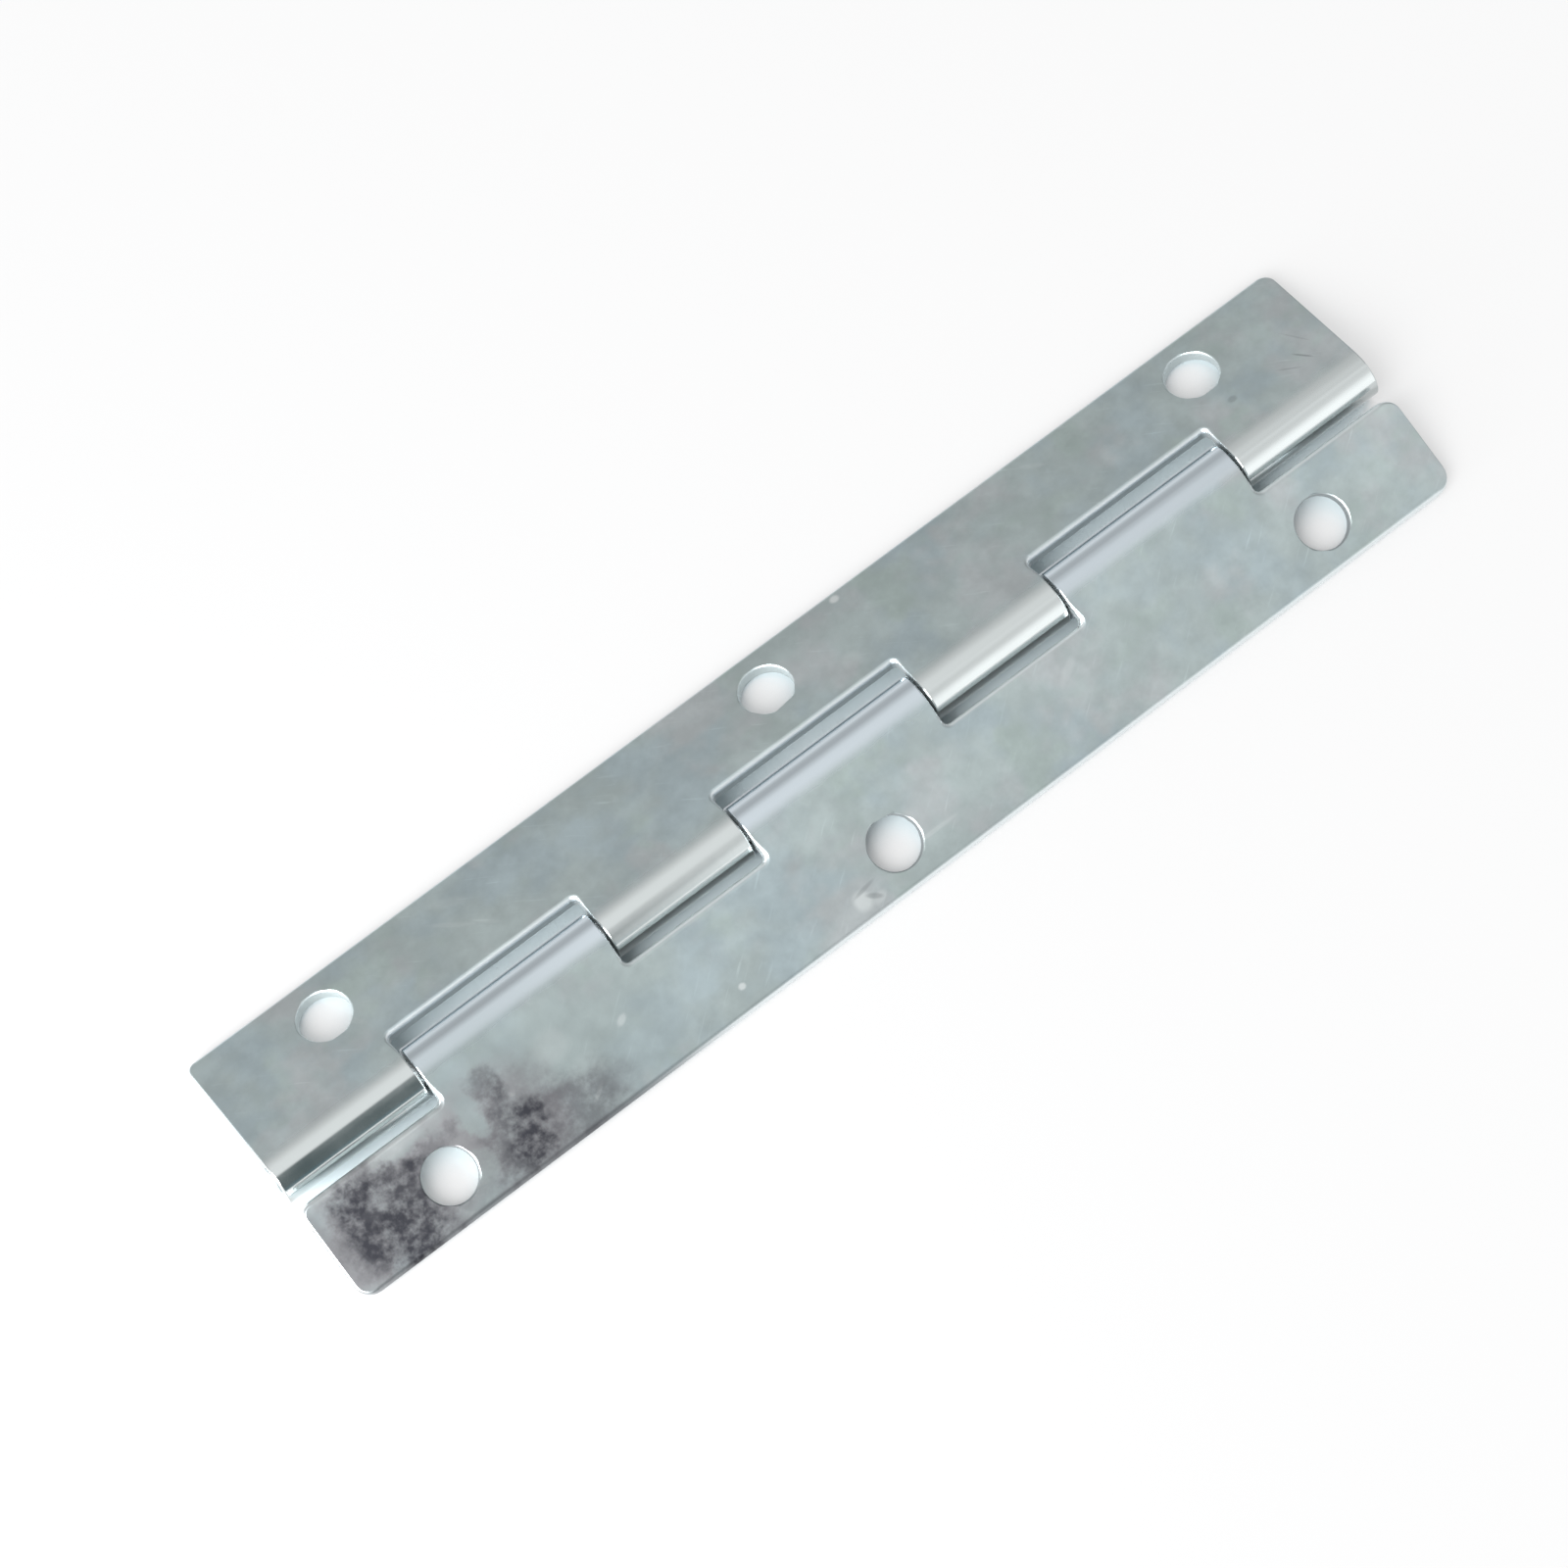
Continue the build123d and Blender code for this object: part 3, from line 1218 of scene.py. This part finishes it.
    def world(self) -> None:
        """Soft light from all round, graded by height, with a shaded part in front of the hinge."""
        world = bpy.data.worlds.new("soft_light")
        bpy.context.scene.world = world
        world.use_nodes = True
        g = Graph(world.node_tree)
        toward = g.split(g.add("ShaderNodeTexCoord", {}, {}, "Generated"))
        x, y, z = toward
        up = g.clamp(z)
        light = g.mix(g.step(y, *self.near_to_far), g.ramp(up, self.near_sky), g.ramp(up, self.far_sky))
        light = g.scaled(light, 1 - self.dim_above.mask(g, toward) - self.dim_right.mask(g, toward))
        shade = g.step(x + self.shade_slant.mask(g, toward), *self.shade_edge) * self.shade.mask(g, toward)
        dark = g.mix(g.step(z, *self.shade_low_span), self.shade_colour, self.shade_low_colour)
        light = g.mix(shade, light, dark)
        soft = g.add("ShaderNodeBackground", {}, {"Color": light, "Strength": self.sky_strength})
        white = g.add("ShaderNodeBackground", {}, {"Color": WHITE, "Strength": 1.0})
        both = g.add("ShaderNodeMixShader", {}, {0: g.ray("Camera"), 1: soft, 2: white})
        g.add("ShaderNodeOutputWorld", {}, {"Surface": both})

    def build(self) -> None:
        """Sets up floor, light, camera and the plain view transform."""
        bpy.context.scene.view_settings.view_transform = "Standard"
        self.floor()
        self.world()
        self.key.build()
        self.left_fill.build()
        self.camera()


# The whole hinge


def main() -> None:
    """Builds the leaves, the pin and the studio."""
    logging.basicConfig(level=logging.INFO)
    sizes = HingeSizes()
    # The two leaves are the same zinc, and their settings differ as painted light. Each leaf has its own
    # plate brightness. The end leaf's notch walls and edges carry painted shade. The middle leaf's roll
    # carries a painted bluish reflection tint, and its hole walls carry painted shade.
    end_zinc = ZincFinish(edge=(0.67, 0.72, 0.74), cut=(0.40, 0.44, 0.45), brightness=1.07,
                          marks=END_LEAF_MARKS)
    mid_zinc = ZincFinish(roll=(0.59, 0.655, 0.70), hole_wall=(0.30, 0.33, 0.34), brightness=0.98,
                          marks=MID_LEAF_MARKS, film=MID_LEAF_FILM_AND_DARK_REFLECTION, blots=MID_LEAF_BLOTS_AND_DARK_REFLECTION,
                          clear=MID_LEAF_CLEAR)
    end_leaf = RolledLeaf(LeafKind.END, sizes, end_zinc, "end_knuckle_leaf", "end_leaf",
                          left_corners=(1.0, 0.9), right_corners=(1.4, 1.4), edge_radius=0.46)
    mid_leaf = RolledLeaf(LeafKind.MID, sizes, mid_zinc, "mid_knuckle_leaf", "mid_leaf",
                          left_corners=(1.6, 1.2), right_corners=(1.8, 1.5))
    for part in (end_leaf, mid_leaf, HingePin(PinFinish())):
        piece = part.build()
        log.info("%s: %d faces", piece.name, len(piece.data.polygons))
    Studio().build()


if __name__ == "__main__":
    main()
